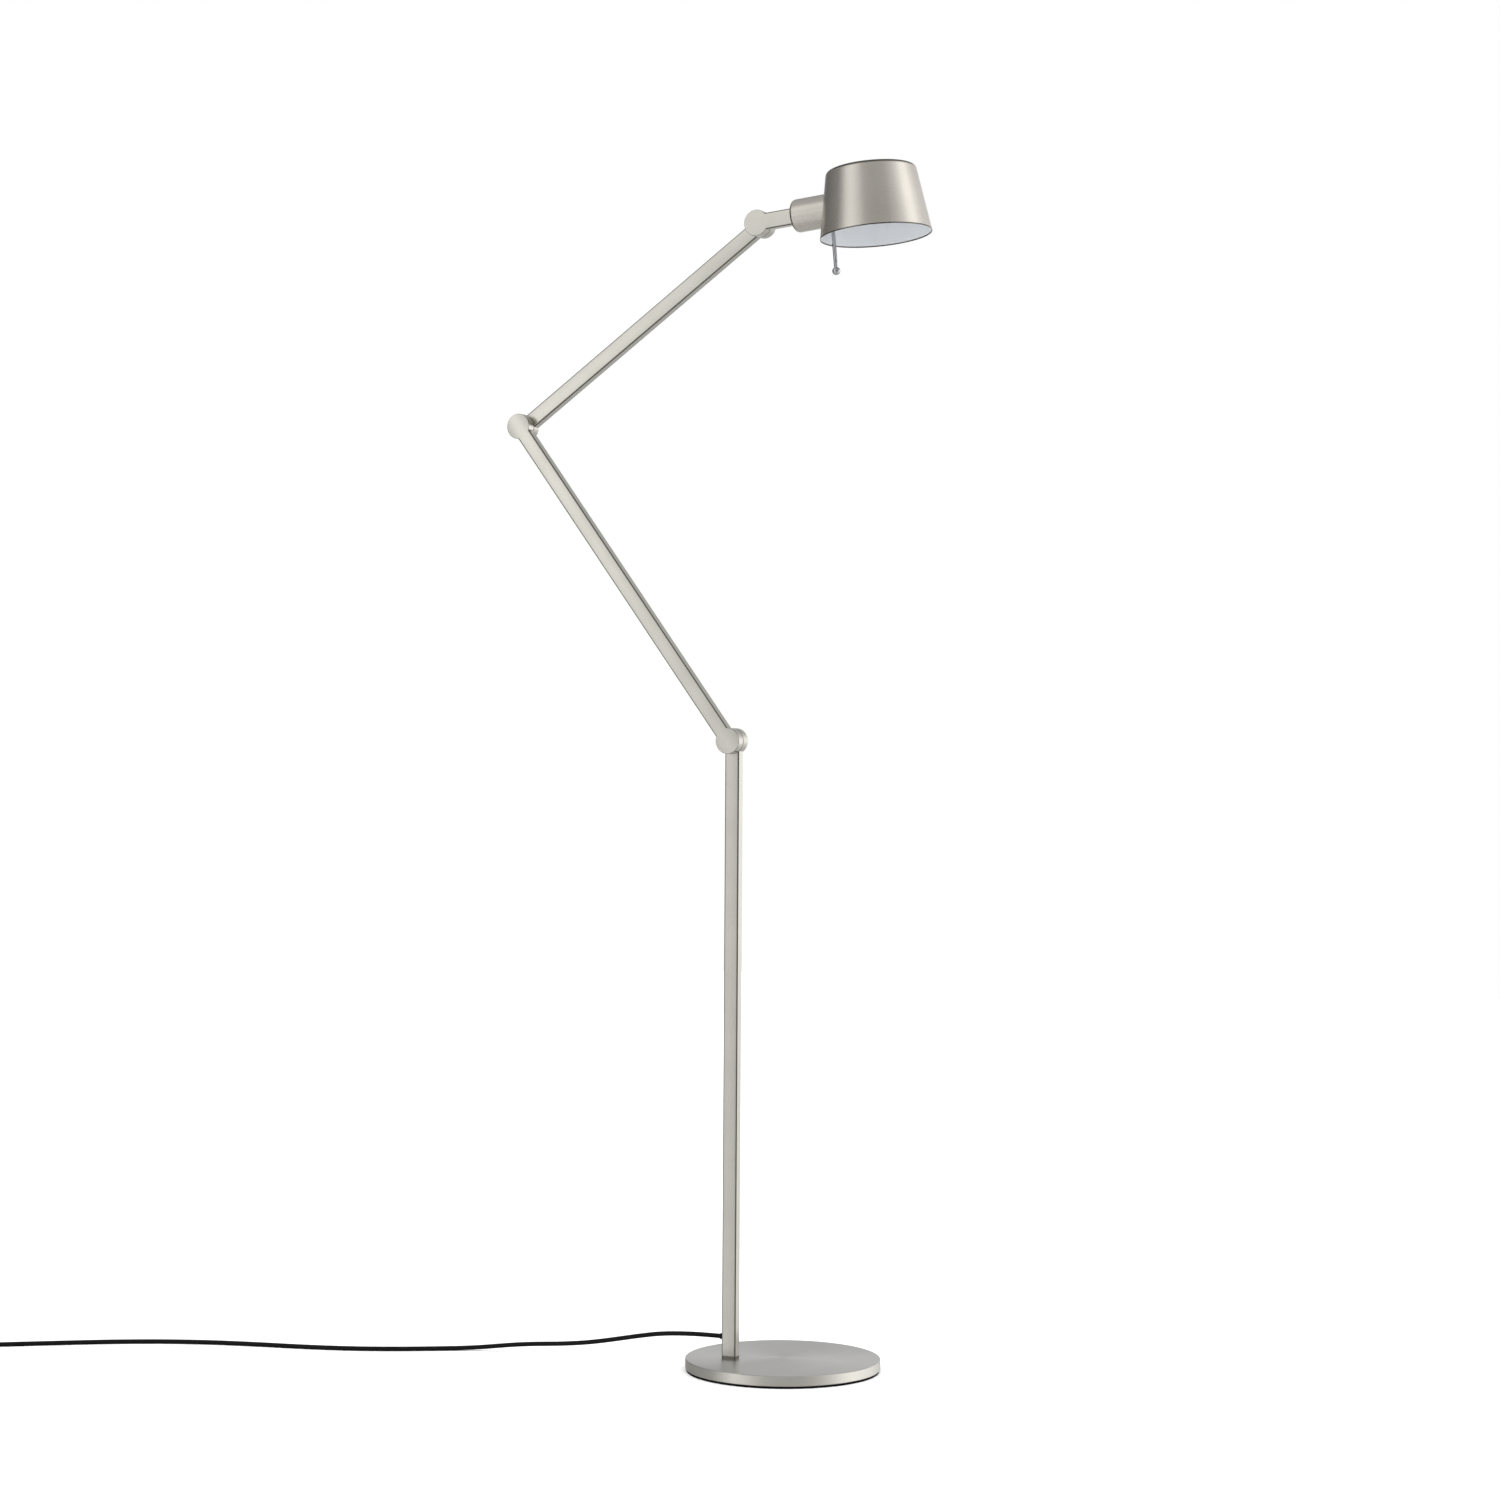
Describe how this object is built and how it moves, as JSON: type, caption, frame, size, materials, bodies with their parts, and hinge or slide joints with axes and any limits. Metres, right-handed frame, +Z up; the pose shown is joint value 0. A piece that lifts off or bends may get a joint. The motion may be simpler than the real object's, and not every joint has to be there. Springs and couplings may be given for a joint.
{
  "type": "adjustable arm floor lamp",
  "caption": "Floor lamp with a round base, an upright, two folding arms of rectangular tube, disc joints, and a closed conical shade that tilts and swivels.",
  "frame": {"origin": "centre of the base's underside, on the floor", "axes": "+Z up; +X in the plane in which the arms fold, towards the shade as the lamp stands; +Y to the back, where the joint caps are"},
  "size_m": [1.3806, 0.503, 1.525],
  "materials": {
    "satin_nickel": "satin nickel-plated steel, finely brushed",
    "shade_metal": "spun aluminium, satin nickel outside and white enamel inside",
    "polished_chrome": "polished chrome plate",
    "black_foam": "closed-cell black foam rubber",
    "black_rubber": "moulded black rubber",
    "black_pvc": "black PVC, slightly shiny",
    "plug_pin_nickel": "nickel-plated brass",
    "zinc_plated_steel": "bright zinc plate",
    "spring_steel": "blued spring steel",
    "black_nylon": "moulded black nylon",
    "lead_silicone": "silicone-rubber insulated lead",
    "holder_plastic": "white heat-proof plastic",
    "bracket_zinc": "die-cast zinc, white enamel",
    "bulb_glass": "frosted glass",
    "bulb_cap_metal": "plated screw cap"
  },
  "bodies": {
    "stand": {"base_pad": "black_foam", "base_plate": "satin_nickel", "column_foot": "satin_nickel", "column_lead": "lead_silicone", "column_tube": "satin_nickel", "cord_anchor": "black_nylon", "cord_coil": "black_pvc", "cord_grommet": "black_rubber", "cord_tail": "black_pvc", "foot_pin": "zinc_plated_steel", "foot_screw": "zinc_plated_steel", "lower_joint_cover_cap": "satin_nickel", "lower_joint_friction_washer": "black_nylon", "lower_joint_rear_disc": "satin_nickel", "plug_body": "black_pvc", "plug_pins": "plug_pin_nickel", "power_cord": "black_pvc"},
    "middle_arm": {"elbow_front_disc": "satin_nickel", "elbow_nut": "zinc_plated_steel", "elbow_spring_washer": "spring_steel", "elbow_stud": "zinc_plated_steel", "lower_joint_front_disc": "satin_nickel", "lower_joint_nut": "zinc_plated_steel", "lower_joint_spring_washer": "spring_steel", "lower_joint_stud": "zinc_plated_steel", "middle_arm_lead": "lead_silicone", "middle_arm_tube": "satin_nickel"},
    "upper_arm": {"elbow_cover_cap": "satin_nickel", "elbow_friction_washer": "black_nylon", "elbow_rear_disc": "satin_nickel", "head_joint_cover_cap": "satin_nickel", "head_joint_friction_washer": "black_nylon", "head_joint_rear_disc": "satin_nickel", "upper_arm_lead": "lead_silicone", "upper_arm_tube": "satin_nickel"},
    "neck": {"head_joint_front_disc": "satin_nickel", "head_joint_nut": "zinc_plated_steel", "head_joint_spring_washer": "spring_steel", "head_joint_stud": "zinc_plated_steel", "neck_end_plug": "zinc_plated_steel", "neck_lead": "lead_silicone", "neck_tube": "satin_nickel", "swivel_nipple": "zinc_plated_steel", "swivel_nut": "zinc_plated_steel", "swivel_washers": "black_nylon"},
    "head": {"bulb_cap": "bulb_cap_metal", "bulb_glass": "bulb_glass", "handle_ball": "polished_chrome", "handle_rod": "polished_chrome", "head_lead": "lead_silicone", "holder_cover": "satin_nickel", "holder_seat": "zinc_plated_steel", "lamp_holder": "holder_plastic", "shade": "shade_metal", "shade_bracket": "bracket_zinc", "shade_ring": "holder_plastic"}
  },
  "joints": [
    {"name": "lower_joint", "type": "hinge", "parent": "stand", "child": "middle_arm", "pos_m": [-0.057, -0.0429, 0.8048], "axis": [0, -1, 0], "range_deg": [-60, 40]},
    {"name": "elbow_joint", "type": "hinge", "parent": "middle_arm", "child": "upper_arm", "pos_m": [-0.3664, -0.0429, 1.21838], "axis": [0, -1, 0], "range_deg": [-45, 90]},
    {"name": "head_joint", "type": "hinge", "parent": "upper_arm", "child": "neck", "pos_m": [-0.02117, -0.0429, 1.46281], "axis": [0, -1, 0], "range_deg": [-90, 90]},
    {"name": "head_swivel", "type": "hinge", "parent": "neck", "child": "head", "pos_m": [-0.02117, -0.0498, 1.46281], "axis": [0.9954, 0, 0.0958], "range_deg": [-90, 90]}
  ]
}
